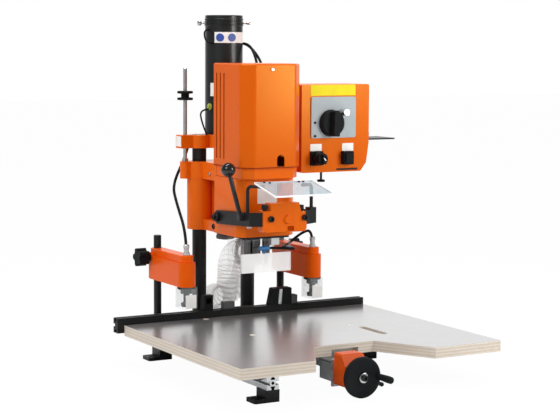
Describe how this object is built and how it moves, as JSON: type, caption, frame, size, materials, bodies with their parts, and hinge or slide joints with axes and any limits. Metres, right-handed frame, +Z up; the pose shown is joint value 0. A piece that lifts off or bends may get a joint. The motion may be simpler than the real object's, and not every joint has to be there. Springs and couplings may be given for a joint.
{
  "type": "hinge boring machine",
  "caption": "Bench boring machine for cabinet hinges: sliding geared boring head on columns, swing-down press arm, hold-downs, fence table with handwheel, control box and chip extraction.",
  "frame": {"origin": "midway between the two middle bench bolt holes, on the bench surface", "axes": "+X right along the fence, +Y back away from the user, +Z up"},
  "size_m": [0.631, 0.741, 0.705],
  "materials": {
    "orange": "satin",
    "black_steel": "satin",
    "steel": "satin",
    "aluminium": "satin",
    "black_rail": "anodised",
    "plywood": "dark film on both faces, bare edges",
    "black_plastic": "matte",
    "grey_plastic": "matte",
    "orange_plastic": "gloss",
    "blue_plastic": "gloss",
    "clear_plastic": "clear",
    "hose_plastic": "translucent",
    "bronze": "satin"
  },
  "bodies": {
    "base": {"base_profiles": "aluminium", "rear_beam": "black_steel", "feet": "black_steel", "columns": "black_steel", "hold_down_rods": "black_steel", "column_yoke": "orange", "extraction_pipe": "black_plastic", "feed_piston": "steel", "screw_nut": "bronze", "earth_leads": "black_plastic", "extraction_hose": "hose_plastic", "left_air_hose": "black_plastic", "motor_leads": "black_plastic"},
    "table": {"table_plate": "plywood", "fence_rail": "black_rail", "table_guides": "black_plastic", "position_counter": "orange_plastic", "screw_bearing": "aluminium"},
    "handwheel": {"handwheel": "black_plastic", "table_screw": "steel"},
    "crank_grip": {"crank_grip": "black_plastic"},
    "clamp_lever": {"clamp_lever": "black_plastic"},
    "left_stop": {"left_stop": "black_plastic"},
    "right_stop": {"right_stop": "black_plastic"},
    "head": {"head_casting": "orange", "column_bushes": "bronze", "gear_cover": "black_steel", "motor": "black_steel", "motor_cover": "orange", "stop_rod": "steel", "pivot_bolts": "black_steel", "control_box": "orange", "switch_plate": "grey_plastic", "button_block": "black_plastic", "shelf": "black_steel", "chip_hood": "clear_plastic", "air_tees": "blue_plastic", "right_air_hose": "black_plastic"},
    "stop_nuts": {"stop_nuts": "black_plastic"},
    "main_spindle": {"main_spindle": "steel", "cup_bit": "steel"},
    "left_spindle": {"left_spindle": "steel"},
    "right_spindle": {"right_spindle": "steel"},
    "ram": {"ram_arms": "black_steel", "ram_block": "orange", "ram_lever": "black_plastic", "visor_frame": "black_steel", "visor": "clear_plastic"},
    "left_hold_down": {"left_arm": "orange", "left_guard": "clear_plastic"},
    "right_hold_down": {"right_arm": "orange", "right_guard": "clear_plastic"},
    "left_foot": {"left_foot": "black_plastic"},
    "right_foot": {"right_foot": "black_plastic"},
    "left_star_knob": {"left_star_knob": "black_plastic"},
    "right_star_knob": {"right_star_knob": "black_plastic"},
    "main_knob": {"main_knob": "black_plastic"},
    "selector_knob": {"selector_knob": "black_plastic"},
    "push_button": {"push_button": "black_plastic"},
    "regulator_knob": {"regulator_knob": "black_plastic"}
  },
  "joints": [
    {"name": "head_slide", "type": "slide", "parent": "base", "child": "head", "axis": [0, 0, 1], "range_m": [-0.072, 0], "deforming": ["extraction_hose", "motor_leads", "right_air_hose"]},
    {"name": "main_spin", "type": "hinge", "parent": "head", "child": "main_spindle", "pos_m": [0, -0.05, 0.294], "axis": [0, 0, 1], "continuous": true},
    {"name": "left_spin", "type": "hinge", "parent": "head", "child": "left_spindle", "pos_m": [-0.0225, -0.0595, 0.294], "axis": [0, 0, 1], "continuous": true},
    {"name": "right_spin", "type": "hinge", "parent": "head", "child": "right_spindle", "pos_m": [0.0225, -0.0595, 0.294], "axis": [0, 0, 1], "continuous": true},
    {"name": "ram_swing", "type": "hinge", "parent": "head", "child": "ram", "pos_m": [0, -0.027, 0.29], "axis": [1, 0, 0], "range_deg": [0, 44]},
    {"name": "stop_nut_slide", "type": "slide", "parent": "head", "child": "stop_nuts", "axis": [0, 0, 1], "range_m": [0, 0.04]},
    {"name": "handwheel_turn", "type": "hinge", "parent": "table", "child": "handwheel", "pos_m": [-0.032, -0.517, 0.0404], "axis": [0, 1, 0], "range_deg": [-271, 1261]},
    {"name": "table_slide", "type": "slide", "parent": "base", "child": "table", "axis": [0, 1, 0], "range_m": [-0.003, 0.014]},
    {"name": "crank_grip_spin", "type": "hinge", "parent": "handwheel", "child": "crank_grip", "pos_m": [0, -0.54, 0.0404], "axis": [0, 1, 0], "continuous": true},
    {"name": "clamp_lever_turn", "type": "hinge", "parent": "table", "child": "clamp_lever", "pos_m": [0.008, -0.465, 0.025], "axis": [0, -1, 0], "range_deg": [0, 45]},
    {"name": "left_stop_slide", "type": "slide", "parent": "table", "child": "left_stop", "axis": [1, 0, 0], "range_m": [-0.12, 0]},
    {"name": "right_stop_slide", "type": "slide", "parent": "table", "child": "right_stop", "axis": [1, 0, 0], "range_m": [0, 0.12]},
    {"name": "left_hold_slide", "type": "slide", "parent": "base", "child": "left_hold_down", "axis": [0, 0, 1], "range_m": [-0.01, 0.025], "deforming": ["left_air_hose"]},
    {"name": "right_hold_slide", "type": "slide", "parent": "base", "child": "right_hold_down", "axis": [0, 0, 1], "range_m": [-0.01, 0.025]},
    {"name": "left_foot_slide", "type": "slide", "parent": "left_hold_down", "child": "left_foot", "axis": [0, 0, 1], "range_m": [-0.014, 0]},
    {"name": "right_foot_slide", "type": "slide", "parent": "right_hold_down", "child": "right_foot", "axis": [0, 0, 1], "range_m": [-0.014, 0]},
    {"name": "left_star_turn", "type": "hinge", "parent": "left_hold_down", "child": "left_star_knob", "pos_m": [-0.196, 0.086, 0.2], "axis": [1, 0, 0], "continuous": true},
    {"name": "right_star_turn", "type": "hinge", "parent": "right_hold_down", "child": "right_star_knob", "pos_m": [0.18, 0.086, 0.2], "axis": [1, 0, 0], "continuous": true},
    {"name": "main_knob_turn", "type": "hinge", "parent": "head", "child": "main_knob", "pos_m": [0.165, -0.09, 0.481], "axis": [0, 1, 0], "range_deg": [0, 90]},
    {"name": "selector_turn", "type": "hinge", "parent": "head", "child": "selector_knob", "pos_m": [0.1315, -0.1, 0.408], "axis": [0, 1, 0], "range_deg": [-45, 45]},
    {"name": "push_button_press", "type": "slide", "parent": "head", "child": "push_button", "axis": [0, 1, 0], "range_m": [0, 0.004], "stiffness_N_per_m": 400},
    {"name": "regulator_turn", "type": "hinge", "parent": "head", "child": "regulator_knob", "pos_m": [0.155, -0.06, 0.37], "axis": [0, 0, 1], "continuous": true}
  ],
  "couplings": [
    {"joint": "left_spin", "follows": "main_spin", "ratio": -1},
    {"joint": "right_spin", "follows": "main_spin", "ratio": -1},
    {"joint": "handwheel_turn", "follows": "table_slide", "rad_per_m": 1570.8}
  ]
}
